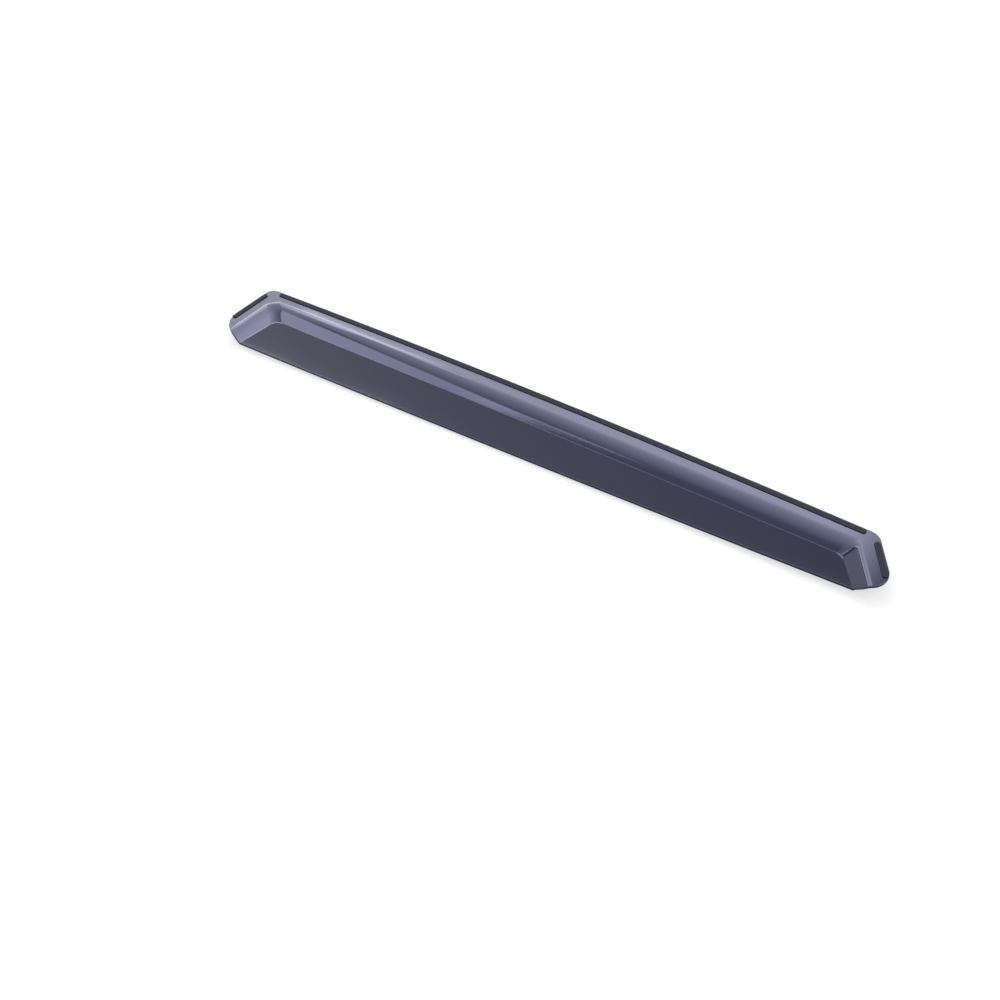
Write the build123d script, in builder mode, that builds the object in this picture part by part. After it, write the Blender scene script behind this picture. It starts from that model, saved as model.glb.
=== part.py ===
import os
from math import cos, degrees, radians, sin, tan

from build123d import *

# X runs along the window, +Y points at the door frame edge and +Z at the glass.
# The origin is the middle of the long tape's adhesive face.

# Flange outline in plan, measured from the chord between its two upper corners.
flange_length = 801.0
frame_edge_rise = 9.5
free_edge_rise = 0.5
rear_width = 94.0
front_width = 68.0
rear_rake = 3.5
front_rake = 33.5
rear_top_radius = 12.0
front_top_radius = 18.0
front_low_radius = 19.0
rear_low_radius = 33.0

# Moulded tray: three walls turn down from the flange to the panel.
thickness = 3.0
door_bow = 3.8
top_land = 22.3
rear_land = 24.0
front_land = 22.4
shoulder_slope = 45.0
rear_slope = 45.0
front_slope = 39.0
rear_depth = 13.0
front_depth = 11.0
depth_datum = 35.0
panel_tilt = 2.2
tray_corner_radius = 16.0
rim_radius = 20.0
cove_radius = 1.2

# Foam tape on the glass side of the flange. The end strips run between gaps from the two corners.
tape_width = 6.0
tape_thick = 0.8
tape_margin = 1.8
tape_end_radius = 2.4
top_tape_rear_gap = 18.0
top_tape_front_gap = 12.0
rear_tape_top_gap = 13.0
rear_tape_low_gap = 24.5
front_tape_top_gap = 11.5
front_tape_low_gap = 18.5

half = flange_length / 2
chord = tape_margin + tape_width / 2 - frame_edge_rise
edge_radius = (half**2 + frame_edge_rise**2) / (2 * frame_edge_rise)
pivot = chord + frame_edge_rise - edge_radius
reach = flange_length * 0.75
stock = rear_depth * 3
depth = rear_width * 1.6


def bow_at(x):
    return door_bow * (x / half) ** 2 - tape_thick


def frame_y(x, inset=0.0):
    return chord + frame_edge_rise * (1 - (x / half) ** 2) - inset


def rear_x(y, inset=0.0):
    return -half + (y - chord) * tan(radians(rear_rake)) + inset / cos(radians(rear_rake))


def front_x(y, inset=0.0):
    return half - (y - chord) * tan(radians(front_rake)) - inset / cos(radians(front_rake))


def end_wall(x, rake, slope):
    along = Vector(sin(radians(rake)), cos(radians(rake)), 0)
    level = Vector(cos(radians(rake)), -sin(radians(rake)), 0)
    inward = level if x < 0 else -level
    normal = inward * sin(radians(slope)) + Vector(0, 0, cos(radians(slope)))
    return Plane(origin=(x, chord, bow_at(half)), x_dir=along, z_dir=normal)


# Space inside the moulding: a coned shoulder, two flat end walls and the bowed panel as its floor.
with BuildPart() as tray:
    sweep = degrees(reach / edge_radius)
    turned = Plane(
        origin=(0, pivot, 0),
        x_dir=(sin(radians(sweep)), cos(radians(sweep)), 0),
        z_dir=(cos(radians(sweep)), -sin(radians(sweep)), 0),
    )
    with BuildSketch(turned):
        run = stock / tan(radians(shoulder_slope))
        rim = edge_radius - top_land
        mouth = bow_at(half)
        with BuildLine():
            Polyline(
                (rim + run, mouth + stock),
                (rim - run, mouth - stock),
                (rim - depth, mouth - stock),
                (rim - depth, mouth + stock),
                close=True,
            )
        make_face()
    revolve(axis=Axis((0, pivot, 0), (0, 0, 1)), revolution_arc=2 * sweep)
    split(bisect_by=end_wall(rear_x(chord, rear_land), rear_rake, rear_slope), keep=Keep.TOP)
    split(bisect_by=end_wall(front_x(chord, front_land), -front_rake, front_slope), keep=Keep.TOP)
    corners = tray.faces().filter_by(GeomType.CONE).sort_by(Axis.Y)[-1].edges()
    fillet(corners.filter_by(lambda e: abs(e.tangent_at(0.5).Z) > 0.3), tray_corner_radius)
    # The panel leans back to the glass towards its free edge and is a little deeper at the rear.
    lean = Plane(
        origin=(0, chord - depth_datum, bow_at(0) - (rear_depth + front_depth) / 2),
        x_dir=(1, 0, 0),
        z_dir=(0, -cos(radians(panel_tilt)), sin(radians(panel_tilt))),
    )
    with BuildSketch(lean.offset(-depth)):
        lift = door_bow * (reach / half) ** 2
        twist = (rear_depth - front_depth) / flange_length * reach
        rear_end = (-reach, lift - twist)
        front_end = (reach, lift + twist)
        with BuildLine():
            ThreePointArc(rear_end, (0, 0), front_end)
            Polyline(front_end, (reach, -stock * 2), (-reach, -stock * 2), rear_end)
        make_face()
    extrude(amount=depth * 2, mode=Mode.SUBTRACT)
    floor = tray.faces().sort_by(Axis.Z)[0]
    fillet(floor.edges().filter_by(lambda e: e.center().Y > chord - depth * 0.9), cove_radius)

# One moulding: bowed stock with the tray taken out, shelled to the sheet and trimmed to the outline.
with BuildPart() as visor:
    with BuildSketch(Plane.XZ.offset(-depth)):
        rear_lip = (-reach, bow_at(reach))
        front_lip = (reach, bow_at(reach))
        with BuildLine():
            ThreePointArc(rear_lip, (0, bow_at(0)), front_lip)
            Polyline(front_lip, (reach, -stock), (-reach, -stock), rear_lip)
        make_face()
    extrude(amount=depth * 1.9)
    add(tray.part, mode=Mode.SUBTRACT)
    flange_face = visor.faces().filter_by(GeomType.CYLINDER).sort_by(SortBy.AREA)[-1]
    inner = flange_face.edges().filter_by(lambda e: abs(e.center().Y) < depth * 0.85)
    fillet(inner.filter_by(lambda e: abs(e.center().X) < reach * 0.95), rim_radius)
    blanks = visor.faces()
    sides = blanks.filter_by(Axis.X) + blanks.filter_by(Axis.Y) + blanks.filter_by(Axis.Z)
    offset(amount=-thickness, openings=sides)
    with BuildSketch(Plane.XY.offset(-stock)) as outline:
        rear_top = (rear_x(chord), chord)
        front_top = (front_x(chord), chord)
        front_low = (front_x(chord - front_width), chord - front_width)
        rear_low = (rear_x(chord - rear_width), chord - rear_width)
        free_mid = (0, chord + free_edge_rise - (front_width + rear_width) / 2)
        with BuildLine():
            ThreePointArc(rear_top, (0, frame_y(0)), front_top)
            Line(front_top, front_low)
            ThreePointArc(front_low, free_mid, rear_low)
            Line(rear_low, rear_top)
        make_face()
        fillet(outline.vertices().sort_by_distance(rear_top)[0], rear_top_radius)
        fillet(outline.vertices().sort_by_distance(front_top)[0], front_top_radius)
        fillet(outline.vertices().sort_by_distance(front_low)[0], front_low_radius)
        fillet(outline.vertices().sort_by_distance(rear_low)[0], rear_low_radius)
    extrude(amount=stock * 2, mode=Mode.INTERSECT)

# Band of tape stock lying on the bowed flange; the long strip is cut from it in plan.
with BuildPart() as top_tape:
    with BuildSketch(Plane.XZ.offset(-depth)):
        low = bow_at(reach)
        high = low + tape_thick
        with BuildLine():
            ThreePointArc((-reach, low), (0, bow_at(0)), (reach, low))
            Line((reach, low), (reach, high))
            ThreePointArc((reach, high), (0, bow_at(0) + tape_thick), (-reach, high))
            Line((-reach, high), (-reach, low))
        make_face()
    extrude(amount=depth * 2)
    with BuildSketch(Plane.XY.offset(-stock)) as strip:
        x0 = -half + top_tape_rear_gap
        x1 = half - top_tape_front_gap
        far, mid_far, end_far = [(x, frame_y(x, tape_margin)) for x in (x0, 0, x1)]
        near, mid_near, end_near = [(x, frame_y(x, tape_margin + tape_width)) for x in (x0, 0, x1)]
        with BuildLine():
            ThreePointArc(far, mid_far, end_far)
            Line(end_far, end_near)
            ThreePointArc(end_near, mid_near, near)
            Line(near, far)
        make_face()
        fillet(strip.vertices(), tape_end_radius)
    extrude(amount=stock * 2, mode=Mode.INTERSECT)


def tape_face(x, y):
    slope = 2 * door_bow * x / half**2
    return Plane(origin=(x, y, bow_at(x) + tape_thick), x_dir=(1, 0, slope), z_dir=(-slope, 0, 1))


# The end strips are flat on the glass side and bedded on the flange below.
with BuildPart() as rear_tape:
    rear_run = rear_width - rear_tape_top_gap - rear_tape_low_gap
    y = chord - rear_tape_top_gap - rear_run / 2
    with BuildSketch(tape_face(rear_x(y, tape_margin + tape_width / 2), y)):
        long = rear_run / cos(radians(rear_rake))
        RectangleRounded(tape_width, long, tape_end_radius, rotation=-rear_rake)
    extrude(amount=-tape_thick * 2)
    add(visor.part, mode=Mode.SUBTRACT)

with BuildPart() as front_tape:
    front_run = front_width - front_tape_top_gap - front_tape_low_gap
    y = chord - front_tape_top_gap - front_run / 2
    with BuildSketch(tape_face(front_x(y, tape_margin + tape_width / 2), y)):
        long = front_run / cos(radians(front_rake))
        RectangleRounded(tape_width, long, tape_end_radius, rotation=front_rake)
    extrude(amount=-tape_thick * 2)
    add(visor.part, mode=Mode.SUBTRACT)

os.makedirs("parts", exist_ok=True)
visor.part.label = "visor"
export_step(visor.part, "parts/visor.step")
top_tape.part.label = "top_tape"
export_step(top_tape.part, "parts/top_tape.step")
rear_tape.part.label = "rear_tape"
export_step(rear_tape.part, "parts/rear_tape.step")
front_tape.part.label = "front_tape"
export_step(front_tape.part, "parts/front_tape.step")
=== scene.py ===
from math import cos, hypot, pi, radians, sin, sqrt, tan

import bmesh
import bpy
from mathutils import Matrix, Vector


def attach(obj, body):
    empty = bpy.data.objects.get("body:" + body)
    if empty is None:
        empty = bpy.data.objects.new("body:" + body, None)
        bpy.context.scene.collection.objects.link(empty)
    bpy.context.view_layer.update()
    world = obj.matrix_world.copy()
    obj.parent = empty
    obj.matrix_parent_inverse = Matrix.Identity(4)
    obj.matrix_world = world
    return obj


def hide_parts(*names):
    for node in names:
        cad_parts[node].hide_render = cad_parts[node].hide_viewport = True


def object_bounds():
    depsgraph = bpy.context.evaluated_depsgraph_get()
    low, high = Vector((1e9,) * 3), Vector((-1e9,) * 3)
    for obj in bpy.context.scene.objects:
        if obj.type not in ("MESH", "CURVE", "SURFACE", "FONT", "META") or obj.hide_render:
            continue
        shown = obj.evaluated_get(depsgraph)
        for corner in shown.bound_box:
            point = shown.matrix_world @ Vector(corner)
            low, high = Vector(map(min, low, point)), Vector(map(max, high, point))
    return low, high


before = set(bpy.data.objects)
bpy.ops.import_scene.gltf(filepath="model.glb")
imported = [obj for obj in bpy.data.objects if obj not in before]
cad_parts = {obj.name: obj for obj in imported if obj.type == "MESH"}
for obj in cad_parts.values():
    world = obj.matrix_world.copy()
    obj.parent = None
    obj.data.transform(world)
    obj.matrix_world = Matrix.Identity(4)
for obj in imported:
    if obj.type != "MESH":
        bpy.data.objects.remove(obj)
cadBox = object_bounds()
print("frame loaded:", ", ".join(sorted(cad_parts)))

mmPerMetre = 1000


def linear(hexColour):
    steps = [int(hexColour[i:i + 2], 16) / 255 for i in (1, 3, 5)]
    channels = [s / 12.92 if s <= 0.04045 else ((s + 0.055) / 1.055) ** 2.4 for s in steps]
    return (*channels, 1.0)


white = linear("#ffffff")


def addNode(tree, kind, settings=None, links=None):
    node = tree.nodes.new(kind)
    for name, value in (settings or {}).items():
        if isinstance(name, int) or name in node.inputs:
            node.inputs[name].default_value = value
        else:
            setattr(node, name, value)
    for name, source in (links or {}).items():
        tree.links.new(source, node.inputs[name])
    return node


def newMaterial(name):
    material = bpy.data.materials.new(name)
    material.use_nodes = True
    material.node_tree.nodes.clear()
    return material, material.node_tree


# Cast acrylic sheet, deep smoke tint, heat moulded over a polished tool: near black in itself,
# with a slate blue gloss, a slow ripple where the sheet was drawn, faint wipe marks and a dull
# trimmed edge.
acrylic = {
    "tint": "#0d1128",
    "tintWarm": "#12152a",
    "edgeTint": "#0c0d15",
    "glossTint": "#d2d7ff",
    "ior": 1.49,
    "roughness": 0.03,
    "wipedRoughness": 0.05,
    "edgeRoughness": 0.42,
    "gleam": 0.5,
    "edgeGleam": 0.3,
    "edgeTilt": (0.05, 0.2),  # upright part of a face's normal: cut edge below, sheet above
    "drawMm": 170.0,
    "drawStretch": 0.35,  # under 1 draws the ripple and the wipe marks out along the window
    "drawBump": 0.12,
    "drawHeightMm": 1.0,
    "peelMm": 3.2,
    "peelBump": 0.03,
    "peelHeightMm": 0.2,
    "wipeMm": 45.0,
    "wipeLevels": (0.35, 0.75),  # levels of the pattern from clean to wiped
}


def smokedAcrylic():
    material, tree = newMaterial("smokedAcrylicMouldedGloss")
    spot = addNode(tree, "ShaderNodeTexCoord")
    shape = addNode(tree, "ShaderNodeNewGeometry")
    normal = addNode(tree, "ShaderNodeSeparateXYZ", None, {0: shape.outputs["True Normal"]})
    upright = addNode(tree, "ShaderNodeMath", {"operation": "ABSOLUTE"}, {0: normal.outputs["Z"]})
    cut, sheet = acrylic["edgeTilt"]
    edge = addNode(
        tree, "ShaderNodeMapRange",
        {"From Min": cut, "From Max": sheet, "To Min": 1.0, "To Max": 0.0},
        {"Value": upright.outputs[0]},
    )
    long = addNode(
        tree, "ShaderNodeMapping", {"Scale": (acrylic["drawStretch"], 1.0, 1.0)},
        {"Vector": spot.outputs["Object"]},
    )
    draw = addNode(
        tree, "ShaderNodeTexNoise",
        {"Scale": mmPerMetre / acrylic["drawMm"], "Detail": 1.0, "Roughness": 0.4},
        {"Vector": long.outputs[0]},
    )
    # Real orange peel is about 0.8 mm; it is drawn coarser so that it shows at this size.
    peel = addNode(
        tree, "ShaderNodeTexNoise", {"Scale": mmPerMetre / acrylic["peelMm"], "Detail": 2.0},
        {"Vector": spot.outputs["Object"]},
    )
    wipe = addNode(
        tree, "ShaderNodeTexNoise",
        {"Scale": mmPerMetre / acrylic["wipeMm"], "Detail": 5.0, "Distortion": 0.6},
        {"Vector": long.outputs[0]},
    )
    tint = addNode(
        tree, "ShaderNodeMix",
        {"data_type": "RGBA", 6: linear(acrylic["tint"]), 7: linear(acrylic["tintWarm"])},
        {"Factor": draw.outputs["Fac"]},
    )
    trimmed = addNode(
        tree, "ShaderNodeMix", {"data_type": "RGBA", 7: linear(acrylic["edgeTint"])},
        {"Factor": edge.outputs[0], 6: tint.outputs[2]},
    )
    clean, wiped = acrylic["wipeLevels"]
    gloss = addNode(
        tree, "ShaderNodeMapRange",
        {"From Min": clean, "From Max": wiped,
         "To Min": acrylic["roughness"], "To Max": acrylic["wipedRoughness"]},
        {"Value": wipe.outputs["Fac"]},
    )
    rough = addNode(
        tree, "ShaderNodeMix", {"data_type": "FLOAT", 3: acrylic["edgeRoughness"]},
        {"Factor": edge.outputs[0], 2: gloss.outputs[0]},
    )
    gleam = addNode(
        tree, "ShaderNodeMix",
        {"data_type": "FLOAT", 2: acrylic["gleam"], 3: acrylic["edgeGleam"]},
        {"Factor": edge.outputs[0]},
    )
    drawn = addNode(
        tree, "ShaderNodeBump",
        {"Strength": acrylic["drawBump"], "Distance": acrylic["drawHeightMm"] / mmPerMetre},
        {"Height": draw.outputs["Fac"]},
    )
    peeled = addNode(
        tree, "ShaderNodeBump",
        {"Strength": acrylic["peelBump"], "Distance": acrylic["peelHeightMm"] / mmPerMetre},
        {"Height": peel.outputs["Fac"], "Normal": drawn.outputs[0]},
    )
    shader = addNode(
        tree, "ShaderNodeBsdfPrincipled",
        {"IOR": acrylic["ior"], "Specular Tint": linear(acrylic["glossTint"])},
        {"Base Color": trimmed.outputs[2], "Roughness": rough.outputs[0],
         "Specular IOR Level": gleam.outputs[0], "Normal": peeled.outputs[0]},
    )
    addNode(tree, "ShaderNodeOutputMaterial", None, {"Surface": shader.outputs[0]})
    return material


# Black acrylic foam tape, cast and slit: dull, closed cells just visible, a little sheen at a
# low angle.
foam = {
    "face": "#29293a",
    "cell": "#1e1e2c",
    "gleam": 0.12,
    "ior": 1.45,
    "roughness": 0.55,
    "dullestRoughness": 0.75,
    "cellMm": 1.4,
    "cellBump": 0.3,
    "cellHeightMm": 0.2,
    "mottleMm": 14.0,
}


def foamTape():
    material, tree = newMaterial("acrylicFoamTapeSlit")
    spot = addNode(tree, "ShaderNodeTexCoord")
    # The real cells are about 0.1 mm; these are coarse enough to be seen.
    cell = addNode(
        tree, "ShaderNodeTexVoronoi", {"Scale": mmPerMetre / foam["cellMm"]},
        {"Vector": spot.outputs["Object"]},
    )
    mottle = addNode(
        tree, "ShaderNodeTexNoise", {"Scale": mmPerMetre / foam["mottleMm"], "Detail": 4.0},
        {"Vector": spot.outputs["Object"]},
    )
    shade = addNode(
        tree, "ShaderNodeMath", {"operation": "MULTIPLY"},
        {0: cell.outputs["Distance"], 1: mottle.outputs["Fac"]},
    )
    colour = addNode(
        tree, "ShaderNodeMix",
        {"data_type": "RGBA", 6: linear(foam["cell"]), 7: linear(foam["face"])},
        {"Factor": shade.outputs[0]},
    )
    rough = addNode(
        tree, "ShaderNodeMapRange",
        {"To Min": foam["roughness"], "To Max": foam["dullestRoughness"]},
        {"Value": mottle.outputs["Fac"]},
    )
    bump = addNode(
        tree, "ShaderNodeBump",
        {"Strength": foam["cellBump"], "Distance": foam["cellHeightMm"] / mmPerMetre},
        {"Height": cell.outputs["Distance"]},
    )
    shader = addNode(
        tree, "ShaderNodeBsdfPrincipled",
        {"IOR": foam["ior"], "Specular IOR Level": foam["gleam"]},
        {"Base Color": colour.outputs[2], "Roughness": rough.outputs[0],
         "Normal": bump.outputs[0]},
    )
    addNode(tree, "ShaderNodeOutputMaterial", None, {"Surface": shader.outputs[0]})
    return material


# Moulded visor in millimetres and degrees, with the solid's own sizes. Only the front rim and the
# cove at the foot of the walls are tighter than the solid's, and the cut edge is rounded. Rows and
# columns follow the bends, so that the gloss runs smoothly along them.
visor = {
    "length": 801.0,
    "edgeRise": 9.5,
    "freeRise": 0.5,
    "rearWidth": 94.0,
    "frontWidth": 68.0,
    "rearRake": 3.5,
    "frontRake": 33.5,
    "rearTopRadius": 12.0,
    "frontTopRadius": 18.0,
    "frontLowRadius": 19.0,
    "rearLowRadius": 33.0,
    "tapeToEdge": 4.8,
    "tapeThick": 0.8,
    "sheet": 3.0,
    "doorBow": 3.8,
    "topLand": 22.3,
    "rearLand": 24.0,
    "frontLand": 22.4,
    "shoulderSlope": 45.0,
    "rearSlope": 45.0,
    "frontSlope": 39.0,
    "rearDepth": 13.0,
    "frontDepth": 11.0,
    "depthDatum": 35.0,
    "panelTilt": 2.2,
    "trayCorner": 16.0,
    "rimRadius": 20.0,
    "frontRimRadius": 9.0,
    "coveRadius": 0.12,
    "polish": 0.45,  # rounding of the cut edge
    "polishSegments": 3,
    "polishAngle": 50.0,
    "shrink": (0.0003, 0.001, 0.004),  # share left off each way, to stay inside the solid
    # Grid lines from an outer edge in: where flange and rim end, then how far the cove, the bed
    # and the last column lie from the foot of the wall, and how many lines go into each stretch.
    "rows": {"flange": 11.0, "rim": 31.0, "cove": 0.25, "bed": 8.0,
             "counts": (10, 22, 8, 6, 8, 18)},
    "endColumns": {"flange": 14.0, "rim": 34.0, "cove": 0.2, "bed": 8.0, "reach": 22.0,
                   "counts": (7, 20, 10, 5, 8, 5)},
    "middleColumns": 96,
    "footRounds": 4,  # rounds that settle the foot of a wall on the panel
    "gridRounds": 6,  # rounds that settle a point on its row and column
}
half = visor["length"] / 2
chord = visor["tapeToEdge"] - visor["edgeRise"]
edgeRadius = (half ** 2 + visor["edgeRise"] ** 2) / (2 * visor["edgeRise"])
pivot = visor["tapeToEdge"] - edgeRadius
shoulderFall = tan(radians(visor["shoulderSlope"]))
rearFall = tan(radians(visor["rearSlope"]))
frontFall = tan(radians(visor["frontSlope"]))
rearLean = tan(radians(visor["rearRake"]))
frontLean = tan(radians(visor["frontRake"]))
rearIn = Vector((cos(radians(visor["rearRake"])), -sin(radians(visor["rearRake"]))))
frontIn = Vector((-cos(radians(visor["frontRake"])), -sin(radians(visor["frontRake"]))))
rearLow = Vector((-half - visor["rearWidth"] * rearLean, chord - visor["rearWidth"]))
frontLow = Vector((half + visor["frontWidth"] * frontLean, chord - visor["frontWidth"]))
freeRun = frontLow - rearLow
freeMiddle = chord + visor["freeRise"] - (visor["frontWidth"] + visor["rearWidth"]) / 2
middlePart = -rearLow.x / freeRun.x
freeBulge = freeMiddle - rearLow.y - freeRun.y * middlePart
freeBulge /= middlePart * (1 - middlePart)


def flangeHeight(x):
    return visor["doorBow"] * (x / half) ** 2 - visor["tapeThick"]


def panelHeight(x, y):
    depth = (visor["rearDepth"] + visor["frontDepth"]) / 2
    depth += (visor["frontDepth"] - visor["rearDepth"]) * x / visor["length"]
    lean = (chord - visor["depthDatum"] - y) * tan(radians(visor["panelTilt"]))
    return flangeHeight(x) - depth + lean


def topEdge(x):
    return pivot + sqrt(edgeRadius ** 2 - x ** 2)


def freeEdge(x):
    part = (x - rearLow.x) / freeRun.x
    return rearLow.y + freeRun.y * part + freeBulge * part * (1 - part)


def freeSlope(part):
    return (freeRun.y + freeBulge * (1 - 2 * part)) / freeRun.x


def rearEdge(y):
    return -half + (y - chord) * rearLean


def frontEdge(y):
    return half - (y - chord) * frontLean


def lower(a, b, width):
    # the lower of two heights, with the fold between them rounded
    near = max(1 - abs(a - b) / width, 0)
    return min(a, b) - near * near * width / 4


def foldWidth(radius, one, other):
    # how far apart two slopes are where the rounding of their fold ends; their normals have a
    # height of 1
    turn = one.angle(other)
    return radius * tan(turn / 2) * sin(turn) * (one.length + other.length) / 2


def glassSide(x, y):
    mouth = flangeHeight(half)
    shoulder = mouth - (edgeRadius - visor["topLand"] - hypot(x, y - pivot)) * shoulderFall
    if x < 0:
        end = mouth - ((x - rearEdge(y)) * rearIn.x - visor["rearLand"]) * rearFall
        endNormal = Vector((*(rearIn * rearFall), 1))
        endRim = visor["rimRadius"]
    else:
        end = mouth - ((x - frontEdge(y)) * frontIn.x - visor["frontLand"]) * frontFall
        endNormal = Vector((*(frontIn * frontFall), 1))
        endRim = visor["frontRimRadius"]
    level = Vector((0, 0, 1))
    shoulderNormal = Vector((0, -shoulderFall, 1))
    corner = foldWidth(visor["trayCorner"], shoulderNormal, endNormal)
    wall = -lower(-shoulder, -end, corner)
    share = min(max((end - shoulder) / corner / 2 + 0.5, 0), 1)  # 0 on the shoulder, 1 on the end
    wallNormal = shoulderNormal.lerp(endNormal, share)
    cove = foldWidth(visor["coveRadius"], level, wallNormal)
    tray = -lower(-wall, -panelHeight(x, y), cove)
    rim = visor["rimRadius"] + (endRim - visor["rimRadius"]) * share
    return lower(flangeHeight(x), tray, foldWidth(rim, level, wallNormal))


def wallFoot(land, fall, slant, panelAt):
    # how far from its outer edge a wall meets the panel
    foot = land
    for settle in range(visor["footRounds"]):
        foot = (land + (flangeHeight(half) - panelAt(foot)) / fall) / slant
    return foot


def spread(plan, foot, last):
    # distances from an outer edge that divide each stretch evenly
    stops = (
        plan["flange"], plan["rim"], foot - plan["cove"], foot + plan["cove"],
        foot + plan["bed"], last,
    )
    places = [0.0]
    for stop, count in zip(stops, plan["counts"]):
        start = places[-1]
        places += [start + (stop - start) * (i + 1) / count for i in range(count)]
    return places


def rowPlaces(x):
    # distances from the top edge, across the window
    top = topEdge(x)
    foot = wallFoot(visor["topLand"], shoulderFall, 1.0, lambda far: panelHeight(x, top - far))
    return spread(visor["rows"], foot, top - freeEdge(x))


def endPlaces(y, edge, inward, land, fall):
    # distances from an end edge, along the window
    side = 1 if inward > 0 else -1
    foot = wallFoot(land, fall, abs(inward), lambda far: panelHeight(edge + side * far, y))
    return spread(visor["endColumns"], foot, foot + visor["endColumns"]["reach"])


def roundCorner(point, corner, one, other, radius):
    # slides a point of a sharp corner in, so that the edge follows the corner's arc
    one, other = Vector(one).normalized(), Vector(other).normalized()
    middle = (one + other).normalized()
    opening = one.angle(middle)
    centre = Vector(corner) + middle * radius / sin(opening)
    tangent = radius / tan(opening)
    outOne = (Vector(corner) + one * tangent - centre) / radius
    outOther = (Vector(corner) + other * tangent - centre) / radius
    away = point - centre
    turn = outOne.cross(outOther)
    if away.cross(outOther) / turn <= 0 or outOne.cross(away) / turn <= 0:
        return point
    return centre + away * max(away.dot(outOne), away.dot(outOther)) / away.length


def buildVisor(finish):
    last = sum(visor["endColumns"]["counts"])
    columns = 2 * last + visor["middleColumns"]
    rows = sum(visor["rows"]["counts"])
    topSlope = 2 * visor["edgeRise"] / half
    corners = (
        ((-half, chord), (1, topSlope), (-rearLean, -1), visor["rearTopRadius"]),
        ((half, chord), (-1, topSlope), (frontLean, -1), visor["frontTopRadius"]),
        (frontLow, (-frontLean, 1), (-1, -freeSlope(1)), visor["frontLowRadius"]),
        (rearLow, (rearLean, 1), (1, freeSlope(0)), visor["rearLowRadius"]),
    )
    shell = bmesh.new()
    bmesh.ops.create_grid(shell, x_segments=columns, y_segments=rows, size=0.5)
    for vert in shell.verts:
        column = round((vert.co.x + 0.5) * columns)
        row = rows - round((vert.co.y + 0.5) * rows)
        x = vert.co.x * visor["length"]
        for settle in range(visor["gridRounds"]):
            y = topEdge(x) - rowPlaces(x)[row]
            rear, front = rearEdge(y), frontEdge(y)
            rearPlaces = endPlaces(y, rear, rearIn.x, visor["rearLand"], rearFall)
            frontPlaces = endPlaces(y, front, frontIn.x, visor["frontLand"], frontFall)
            if column < last:
                x = rear + rearPlaces[column]
            elif columns - column < last:
                x = front - frontPlaces[columns - column]
            else:
                start, stop = rear + rearPlaces[last], front - frontPlaces[last]
                x = start + (stop - start) * (column - last) / visor["middleColumns"]
        point = Vector((x, y))
        for corner in corners:
            point = roundCorner(point, *corner)
        vert.co = (point.x, point.y, glassSide(point.x, point.y))
    toMetres = [(1 - share) / mmPerMetre for share in visor["shrink"]]
    bmesh.ops.scale(shell, verts=shell.verts, vec=toMetres)
    bmesh.ops.recalc_face_normals(shell, faces=shell.faces)
    if sum(face.normal.z for face in shell.faces) < 0:
        bmesh.ops.reverse_faces(shell, faces=shell.faces)
    for face in shell.faces:
        face.smooth = True
    mesh = bpy.data.meshes.new("visorShell")
    shell.to_mesh(mesh)
    shell.free()
    mesh.materials.append(finish)
    piece = bpy.data.objects.new("visorShell", mesh)
    bpy.context.scene.collection.objects.link(piece)
    sheet = piece.modifiers.new("sheet", "SOLIDIFY")
    sheet.thickness = visor["sheet"] / mmPerMetre
    sheet.offset = -1.0
    sheet.use_even_offset = True
    polish = piece.modifiers.new("polish", "BEVEL")
    polish.width = visor["polish"] / mmPerMetre
    polish.segments = visor["polishSegments"]
    polish.profile = 0.5
    polish.limit_method = "ANGLE"
    polish.angle_limit = radians(visor["polishAngle"])
    polish.harden_normals = True
    print("visor shell:", columns, "by", rows)
    return piece


shell = buildVisor(smokedAcrylic())
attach(shell, "root")
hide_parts("visor")
tape = foamTape()
for name in ("top_tape", "rear_tape", "front_tape"):
    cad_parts[name].material_slots[0].material = tape
print("finishes set")

# Pale floor that the part lies on; only where it is seen, straight, in a gloss or through glass,
# does it get the last step up to white.
ground = {"size": 14.0, "gap": 0.0001, "colour": "#b6b6b6", "roughness": 0.9, "lift": 0.62}
floorMesh = bpy.data.meshes.new("floor")
plane = bmesh.new()
bmesh.ops.create_grid(plane, x_segments=1, y_segments=1, size=ground["size"] / 2)
bmesh.ops.translate(plane, verts=plane.verts, vec=(0, 0, cadBox[0].z - ground["gap"]))
plane.to_mesh(floorMesh)
plane.free()
floor = bpy.data.objects.new("floor", floorMesh)
bpy.context.scene.collection.objects.link(floor)


def plainlySeen(tree):
    # 1 for the rays that show a backdrop: straight to the camera, in a gloss or through glass
    path = addNode(tree, "ShaderNodeLightPath")
    seen = addNode(
        tree, "ShaderNodeMath", {"operation": "MAXIMUM"},
        {0: path.outputs["Is Camera Ray"], 1: path.outputs["Is Glossy Ray"]},
    )
    seen = addNode(
        tree, "ShaderNodeMath", {"operation": "MAXIMUM"},
        {0: seen.outputs[0], 1: path.outputs["Is Transmission Ray"]},
    )
    return seen.outputs[0]


# Board with matt pale grey paint: no gloss at all, one even tone with the soft shadow on it.
matt, tree = newMaterial("paintedBoardMatt")
lift = addNode(
    tree, "ShaderNodeMath", {"operation": "MULTIPLY", 1: ground["lift"]}, {0: plainlySeen(tree)}
)
board = addNode(
    tree, "ShaderNodeBsdfPrincipled",
    {"Base Color": linear(ground["colour"]), "Roughness": ground["roughness"],
     "Specular IOR Level": 0.0, "Emission Color": white},
    {"Emission Strength": lift.outputs[0]},
)
addNode(tree, "ShaderNodeOutputMaterial", None, {"Surface": board.outputs[0]})
floorMesh.materials.append(matt)

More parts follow.
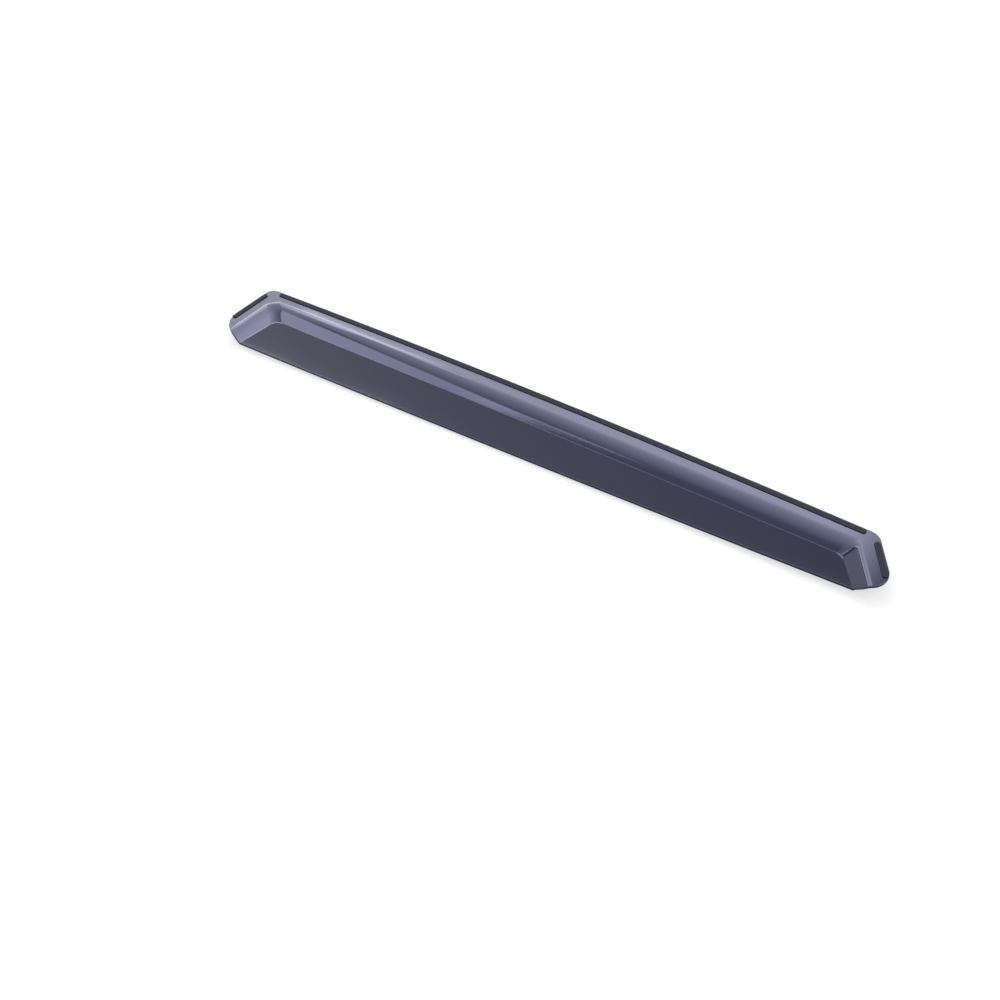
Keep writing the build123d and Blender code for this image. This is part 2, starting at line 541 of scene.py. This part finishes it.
# Even room light for the surfaces, plain white where the camera and the gloss look past the floor.
room = {"light": 0.82, "backdrop": 1.0}
world = bpy.data.worlds.new("room")
bpy.context.scene.world = world
world.use_nodes = True
tree = world.node_tree
tree.nodes.clear()
level = addNode(
    tree, "ShaderNodeMapRange", {"To Min": room["light"], "To Max": room["backdrop"]},
    {"Value": plainlySeen(tree)},
)
sky = addNode(tree, "ShaderNodeBackground", {"Color": white}, {"Strength": level.outputs[0]})
addNode(tree, "ShaderNodeOutputWorld", None, {"Surface": sky.outputs[0]})

# One lamp for the soft shadow, and cards that only the gloss sees. The back edge of the ceiling
# card falls between what the flange and the panel mirror, so the flange is bright and the panel
# dark. No two cards hang at one height, where a ray would meet only one of them.
# fade is the level at the front, back, left and right edge, with bend for a fade that comes up
# early from the front, and soft is how many metres each of these edges takes to come up.
plainCard = {
    "turn": (0.0, 0.0, 0.0),
    "fade": (1.0, 1.0, 1.0, 1.0),
    "bend": 1.0,
    "soft": (0.0, 0.0, 0.0, 0.0),
    "lights": "gloss",
}
lamps = {
    "keyLamp": {
        "at": (-0.9, 1.1, 2.4), "turn": (-24.0, -20.0, 0.0), "size": (1.6, 1.6), "glow": 2.0,
        "lights": "surfaces",
    },
    "ceilingCard": {
        "at": (-1.353, -0.318, 3.0), "turn": (0.0, 0.0, 3.9), "size": (2.557, 6.55), "glow": 5.4,
        "fade": (0.0, 1.0, 0.93, 1.3), "bend": 0.7, "soft": (0.2, 0.03, 0.2, 0.3),
    },
    "rearCard": {
        "at": (2.236, -0.343, 3.005), "turn": (0.0, 0.0, 3.9), "size": (5.2, 6.013), "glow": 5.09,
        "fade": (0.0, 1.0, 1.28, 2.36), "bend": 0.7, "soft": (0.2, 0.4, 0.3, 0.3),
    },
    "stripCard": {
        "at": (-2.8, 1.38, 2.99), "turn": (0.0, 0.0, 5.3), "size": (0.9, 2.8), "glow": 10.0,
        "fade": (1.0, 0.75, 1.0, 0.5), "soft": (0.6, 0.02, 0.1, 0.15),
    },
    "fillCard": {
        "at": (-2.7, -0.45, 3.01), "size": (0.56, 2.1), "glow": 3.6,
        "soft": (0.5, 0.6, 0.1, 0.2),
    },
    "cornerCard": {
        "at": (-3.3, 2.5, 2.97), "turn": (0.0, 0.0, 5.9), "size": (1.4, 0.6), "glow": 4.7,
        "fade": (1.0, 1.0, 0.68, 1.05), "soft": (0.2, 0.02, 0.2, 0.2),
    },
    "frontCard": {
        "at": (-3.069, -2.674, 2.98), "turn": (0.0, 0.0, 11.8), "size": (1.7, 3.1), "glow": 9.6,
        "fade": (0.58, 1.0, 1.0, 0.66), "soft": (0.3, 0.3, 0.3, 0.4),
    },
    "tailCard": {
        "at": (-2.11, -3.185, 3.03), "turn": (0.0, 0.0, 4.6), "size": (1.1, 0.25), "glow": 4.2,
        "fade": (1.0, 1.0, 1.0, 0.8), "soft": (0.02, 0.1, 0.4, 0.3),
    },
    "sideCard": {
        "at": (-6.4, 1.4, 3.04), "size": (5.0, 2.6), "glow": 1.4,
        "fade": (1.0, 1.0, 0.8, 1.2), "soft": (0.4, 0.4, 0.4, 0.4),
    },
    "rimCard": {
        "at": (-0.675, 0.34, 0.6), "turn": (0.0, 0.0, -16.0), "size": (0.5, 0.17), "glow": 4.0,
        "fade": (1.0, 1.0, 1.0, 0.9), "soft": (0.05, 0.05, 0.05, 0.08),
    },
    "panelCard": {
        "at": (-2.168, 3.123, 3.02), "turn": (0.0, 0.0, 4.5), "size": (3.7, 0.45), "glow": 0.75,
        "fade": (1.0, 0.35, 1.0, 0.05), "soft": (0.03, 0.03, 0.2, 0.2),
    },
}


def comeUp(tree, place, size, low, high, bend, softLow, softHigh):
    # level across a card: a fade from low to high, with both edges coming up smoothly
    eased = addNode(tree, "ShaderNodeMath", {"operation": "POWER", 1: bend}, {0: place})
    level = addNode(
        tree, "ShaderNodeMapRange", {"To Min": low, "To Max": high}, {"Value": eased.outputs[0]}
    )
    for start, stop in ((0.0, softLow / size), (1.0, 1.0 - softHigh / size)):
        if start != stop:
            edge = addNode(
                tree, "ShaderNodeMapRange",
                {"interpolation_type": "SMOOTHSTEP", "From Min": start, "From Max": stop},
                {"Value": place},
            )
            level = addNode(
                tree, "ShaderNodeMath", {"operation": "MULTIPLY"},
                {0: level.outputs[0], 1: edge.outputs[0]},
            )
    return level.outputs[0]


for name, own in lamps.items():
    card = {**plainCard, **own}
    lamp = bpy.data.lights.new(name, "AREA")
    lamp.shape = "RECTANGLE"
    lamp.size, lamp.size_y = card["size"]
    lamp.energy = card["glow"] * pi * lamp.size * lamp.size_y
    lamp.use_nodes = True
    tree = lamp.node_tree
    tree.nodes.clear()
    across = addNode(tree, "ShaderNodeNewGeometry")
    across = addNode(tree, "ShaderNodeSeparateXYZ", None, {0: across.outputs["Parametric"]})
    front, back, left, right = card["fade"]
    softFront, softBack, softLeft, softRight = card["soft"]
    deep = comeUp(
        tree, across.outputs["Y"], lamp.size_y, front, back, card["bend"], softFront, softBack
    )
    wide = comeUp(tree, across.outputs["X"], lamp.size, left, right, 1.0, softLeft, softRight)
    fade = addNode(tree, "ShaderNodeMath", {"operation": "MULTIPLY"}, {0: deep, 1: wide})
    glow = addNode(tree, "ShaderNodeEmission", {"Color": white}, {"Strength": fade.outputs[0]})
    addNode(tree, "ShaderNodeOutputLight", None, {"Surface": glow.outputs[0]})
    holder = bpy.data.objects.new(name, lamp)
    holder.location = card["at"]
    holder.rotation_euler = [radians(a) for a in card["turn"]]
    holder.visible_camera = False
    holder.visible_diffuse = card["lights"] == "surfaces"
    holder.visible_glossy = card["lights"] == "gloss"
    bpy.context.scene.collection.objects.link(holder)
print("floor, room and lamps placed")

shot = {
    "at": (0.617, -0.8577, 0.888),
    "turn": (45.181, 3.381, 35.182),
    "lens": 44.435,
    "sensor": 36.0,
    "nearest": 0.01,
    "shift": (-0.0009, -0.0008),
}
camera = bpy.data.cameras.new("camera")
camera.lens = shot["lens"]
camera.sensor_width = shot["sensor"]
camera.clip_start = shot["nearest"]
camera.shift_x, camera.shift_y = shot["shift"]
viewer = bpy.data.objects.new("camera", camera)
viewer.location = shot["at"]
viewer.rotation_euler = [radians(a) for a in shot["turn"]]
bpy.context.scene.collection.objects.link(viewer)
bpy.context.scene.camera = viewer
bpy.context.scene.view_settings.view_transform = "Standard"
print("camera set")
